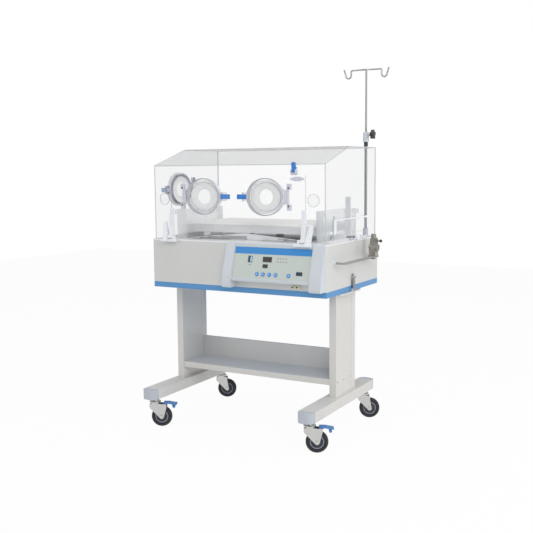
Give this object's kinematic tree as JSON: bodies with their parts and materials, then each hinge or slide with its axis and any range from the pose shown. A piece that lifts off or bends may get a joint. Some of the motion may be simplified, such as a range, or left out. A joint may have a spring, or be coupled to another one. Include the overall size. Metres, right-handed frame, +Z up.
{
  "type": "infant incubator",
  "caption": "Infant incubator with a clear sloped hood, drop-down front door, oval hand ports and tilting bed, on a cabinet with control unit, shelf stand, casters and drip pole.",
  "frame": {"origin": "on the floor, under the middle of the whole object seen from above", "axes": "+X to the right along the cabinet, +Y from the front door to the back, +Z up"},
  "size_m": [1.039, 0.7728, 1.7238],
  "materials": {
    "stand_paint": "satin",
    "foot_cap_plastic": "satin",
    "cabinet_paint": "satin",
    "strip_blue": "satin",
    "deck_white": "satin",
    "housing_white": "glossy",
    "panel_print": "satin",
    "window_dark": "glossy",
    "button_blue": "satin",
    "rocker_black": "satin",
    "chrome": "polished",
    "nickel": "satin",
    "grommet_clear": "frosted",
    "steel": "brushed",
    "zinc_steel": "satin",
    "tyre": "matte",
    "pedal_blue": "satin",
    "clear_acrylic": "clear",
    "guard_acrylic": "frosted",
    "mattress_cover": "smooth",
    "tray_white": "satin",
    "cuff_fabric": "woven",
    "latch_blue": "satin",
    "black_plastic": "satin",
    "hinge_white": "satin",
    "motor_steel": "satin",
    "impeller_plastic": "satin"
  },
  "bodies": {
    "stand": {"stand_frame": "stand_paint", "foot_end_caps": "foot_cap_plastic", "shelf_tray": "stand_paint", "stand_hardware": "zinc_steel", "base_strip": "strip_blue", "cabinet_shell": "cabinet_paint", "deck_plate": "deck_white", "control_housing": "housing_white", "control_panel": "panel_print", "panel_windows": "window_dark", "side_rail": "chrome", "pole_tube": "chrome", "pole_collar": "housing_white", "end_guards": "guard_acrylic", "air_probe": "tray_white", "blower_motor": "motor_steel", "heater_ring": "steel", "air_filter_cover": "cabinet_paint"},
    "hood": {"hood_shell": "clear_acrylic", "door_hinge_brackets": "hinge_white", "tube_grommets": "grommet_clear", "side_port_cuff": "cuff_fabric"},
    "front_door": {"front_door_panel": "clear_acrylic", "door_arms": "hinge_white", "port_cuffs": "cuff_fabric"},
    "door_latch": {"front_door_latch": "latch_blue"},
    "side_port_cap": {"side_port_door": "clear_acrylic"},
    "side_port_catch": {"side_port_latch": "latch_blue"},
    "wall_hatch": {"side_hatch": "clear_acrylic"},
    "bed": {"mattress_tray": "tray_white", "mattress": "mattress_cover"},
    "tilt_drive": {"tilt_knob": "hinge_white"},
    "power_rocker": {"rocker_switch": "rocker_black"},
    "rail_clamp": {"rail_clamp_body": "nickel"},
    "clamp_lever": {"rail_clamp_lever": "nickel"},
    "clamp_screw": {"rail_clamp_knob": "black_plastic"},
    "right_draw_latch": {"draw_latch_right": "steel"},
    "left_draw_latch": {"draw_latch_left": "steel"},
    "hook_rod": {"pole_hook_rod": "chrome"},
    "pole_screw": {"pole_knob": "black_plastic"},
    "impeller": {"blower_wheel": "impeller_plastic"},
    "left_port_cap": {"port_door_left": "clear_acrylic"},
    "left_port_catch": {"port_latch_left": "latch_blue"},
    "right_port_cap": {"port_door_right": "clear_acrylic"},
    "right_port_catch": {"port_latch_right": "latch_blue"},
    "push_button_1": {"button_1": "button_blue"},
    "push_button_2": {"button_2": "button_blue"},
    "push_button_3": {"button_3": "button_blue"},
    "push_button_4": {"button_4": "button_blue"},
    "push_button_5": {"button_5": "button_blue"},
    "front_left_swivel": {"caster_fork_front_left": "zinc_steel"},
    "front_left_wheel": {"caster_wheel_front_left": "tyre"},
    "front_left_pedal": {"brake_pedal_front_left": "pedal_blue"},
    "front_right_swivel": {"caster_fork_front_right": "zinc_steel"},
    "front_right_wheel": {"caster_wheel_front_right": "tyre"},
    "front_right_pedal": {"brake_pedal_front_right": "pedal_blue"},
    "rear_left_swivel": {"caster_fork_rear_left": "zinc_steel"},
    "rear_left_wheel": {"caster_wheel_rear_left": "tyre"},
    "rear_right_swivel": {"caster_fork_rear_right": "zinc_steel"},
    "rear_right_wheel": {"caster_wheel_rear_right": "tyre"}
  },
  "joints": [
    {"name": "hood_lift", "type": "slide", "parent": "stand", "child": "hood", "axis": [0, 0, 1], "range_m": [0, 0.45]},
    {"name": "front_door_hinge", "type": "hinge", "parent": "hood", "child": "front_door", "pos_m": [-0.03896, -0.26038, 0.92], "axis": [1, 0, 0], "range_deg": [0, 135]},
    {"name": "door_latch_hinge", "type": "hinge", "parent": "hood", "child": "door_latch", "pos_m": [0.26804, -0.25338, 1.23], "axis": [1, 0, 0], "range_deg": [0, 80]},
    {"name": "left_port_hinge", "type": "hinge", "parent": "front_door", "child": "left_port_cap", "pos_m": [-0.31796, -0.25338, 1.114], "axis": [0, 0, -1], "range_deg": [0, 110]},
    {"name": "left_port_catch_hinge", "type": "hinge", "parent": "front_door", "child": "left_port_catch", "pos_m": [-0.09396, -0.25338, 1.114], "axis": [0, 0, 1], "range_deg": [0, 12], "stiffness_Nm_per_rad": 0.4, "springref_deg": -5.73},
    {"name": "right_port_hinge", "type": "hinge", "parent": "front_door", "child": "right_port_cap", "pos_m": [0.24004, -0.25338, 1.114], "axis": [0, 0, 1], "range_deg": [0, 110]},
    {"name": "right_port_catch_hinge", "type": "hinge", "parent": "front_door", "child": "right_port_catch", "pos_m": [0.01604, -0.25338, 1.114], "axis": [0, 0, -1], "range_deg": [0, 12], "stiffness_Nm_per_rad": 0.4, "springref_deg": -5.73},
    {"name": "side_port_hinge", "type": "hinge", "parent": "hood", "child": "side_port_cap", "pos_m": [-0.50596, 0.09762, 1.14], "axis": [0, 0, -1], "range_deg": [0, 110]},
    {"name": "side_port_catch_hinge", "type": "hinge", "parent": "hood", "child": "side_port_catch", "pos_m": [-0.50596, -0.12638, 1.14], "axis": [0, 0, 1], "range_deg": [0, 12], "stiffness_Nm_per_rad": 0.4, "springref_deg": -5.73},
    {"name": "wall_hatch_hinge", "type": "hinge", "parent": "hood", "child": "wall_hatch", "pos_m": [0.42304, -0.16438, 0.978], "axis": [0, 0, -1], "range_deg": [0, 110]},
    {"name": "bed_tilt", "type": "hinge", "parent": "stand", "child": "bed", "pos_m": [-0.03896, 0.04362, 0.926], "axis": [0, 1, 0], "range_deg": [-5, 5]},
    {"name": "tilt_knob_turn", "type": "hinge", "parent": "stand", "child": "tilt_drive", "pos_m": [0.35104, 0.05562, 0.922], "axis": [1, 0, 0], "range_deg": [-180, 180]},
    {"name": "button_1_press", "type": "slide", "parent": "stand", "child": "push_button_1", "axis": [0, 0.962, -0.2729], "range_m": [0, 0.0015], "stiffness_N_per_m": 400, "springref_m": -0.001},
    {"name": "button_2_press", "type": "slide", "parent": "stand", "child": "push_button_2", "axis": [0, 0.962, -0.2729], "range_m": [0, 0.0015], "stiffness_N_per_m": 400, "springref_m": -0.001},
    {"name": "button_3_press", "type": "slide", "parent": "stand", "child": "push_button_3", "axis": [0, 0.962, -0.2729], "range_m": [0, 0.0015], "stiffness_N_per_m": 400, "springref_m": -0.001},
    {"name": "button_4_press", "type": "slide", "parent": "stand", "child": "push_button_4", "axis": [0, 0.962, -0.2729], "range_m": [0, 0.0015], "stiffness_N_per_m": 400, "springref_m": -0.001},
    {"name": "button_5_press", "type": "slide", "parent": "stand", "child": "push_button_5", "axis": [0, 0.962, -0.2729], "range_m": [0, 0.0015], "stiffness_N_per_m": 400, "springref_m": -0.001},
    {"name": "power_rocker_hinge", "type": "hinge", "parent": "stand", "child": "power_rocker", "pos_m": [0.31104, -0.28557, 0.77991], "axis": [0, 0.2729, 0.962], "range_deg": [-8, 8]},
    {"name": "rail_clamp_slide", "type": "slide", "parent": "stand", "child": "rail_clamp", "axis": [0, 1, 0], "range_m": [-0.27, 0.01]},
    {"name": "clamp_lever_hinge", "type": "hinge", "parent": "rail_clamp", "child": "clamp_lever", "pos_m": [0.49604, 0.16162, 0.87], "axis": [1, 0, 0], "range_deg": [-45, 45]},
    {"name": "clamp_screw_turn", "type": "hinge", "parent": "rail_clamp", "child": "clamp_screw", "pos_m": [0.50604, 0.16162, 0.898], "axis": [1, 0, 0], "range_deg": [0, 720]},
    {"name": "right_draw_latch_hinge", "type": "hinge", "parent": "stand", "child": "right_draw_latch", "pos_m": [0.43404, 0.02362, 0.683], "axis": [0, 1, 0], "range_deg": [0, 115]},
    {"name": "left_draw_latch_hinge", "type": "hinge", "parent": "stand", "child": "left_draw_latch", "pos_m": [-0.51196, 0.02362, 0.683], "axis": [0, -1, 0], "range_deg": [0, 115]},
    {"name": "hook_rod_slide", "type": "slide", "parent": "stand", "child": "hook_rod", "axis": [0, 0, 1], "range_m": [-0.24, 0.15]},
    {"name": "pole_screw_turn", "type": "hinge", "parent": "stand", "child": "pole_screw", "pos_m": [0.38104, 0.36362, 1.403], "axis": [1, 0, 0], "range_deg": [0, 720]},
    {"name": "impeller_spin", "type": "hinge", "parent": "stand", "child": "impeller", "pos_m": [-0.03896, 0.10362, 0.884], "axis": [0, 0, 1], "continuous": true},
    {"name": "front_left_swivel_turn", "type": "hinge", "parent": "stand", "child": "front_left_swivel", "pos_m": [-0.45696, -0.32638, 0.126], "axis": [0, 0, 1], "continuous": true},
    {"name": "front_left_wheel_spin", "type": "hinge", "parent": "front_left_swivel", "child": "front_left_wheel", "pos_m": [-0.42845, -0.31185, 0.05], "axis": [-0.454, 0.891, 0], "continuous": true},
    {"name": "front_left_pedal_hinge", "type": "hinge", "parent": "front_left_swivel", "child": "front_left_pedal", "pos_m": [-0.41241, -0.30368, 0.106], "axis": [-0.454, 0.891, 0], "range_deg": [-8, 10]},
    {"name": "front_right_swivel_turn", "type": "hinge", "parent": "stand", "child": "front_right_swivel", "pos_m": [0.37904, -0.32638, 0.126], "axis": [0, 0, 1], "continuous": true},
    {"name": "front_right_wheel_spin", "type": "hinge", "parent": "front_right_swivel", "child": "front_right_wheel", "pos_m": [0.40755, -0.31185, 0.05], "axis": [-0.454, 0.891, 0], "continuous": true},
    {"name": "front_right_pedal_hinge", "type": "hinge", "parent": "front_right_swivel", "child": "front_right_pedal", "pos_m": [0.42359, -0.30368, 0.106], "axis": [-0.454, 0.891, 0], "range_deg": [-8, 10]},
    {"name": "rear_left_swivel_turn", "type": "hinge", "parent": "stand", "child": "rear_left_swivel", "pos_m": [-0.45696, 0.27362, 0.126], "axis": [0, 0, 1], "continuous": true},
    {"name": "rear_left_wheel_spin", "type": "hinge", "parent": "rear_left_swivel", "child": "rear_left_wheel", "pos_m": [-0.42845, 0.28814, 0.05], "axis": [-0.454, 0.891, 0], "continuous": true},
    {"name": "rear_right_swivel_turn", "type": "hinge", "parent": "stand", "child": "rear_right_swivel", "pos_m": [0.37904, 0.27362, 0.126], "axis": [0, 0, 1], "continuous": true},
    {"name": "rear_right_wheel_spin", "type": "hinge", "parent": "rear_right_swivel", "child": "rear_right_wheel", "pos_m": [0.40755, 0.28814, 0.05], "axis": [-0.454, 0.891, 0], "continuous": true}
  ],
  "couplings": [
    {"joint": "tilt_knob_turn", "follows": "bed_tilt", "ratio": 36}
  ]
}
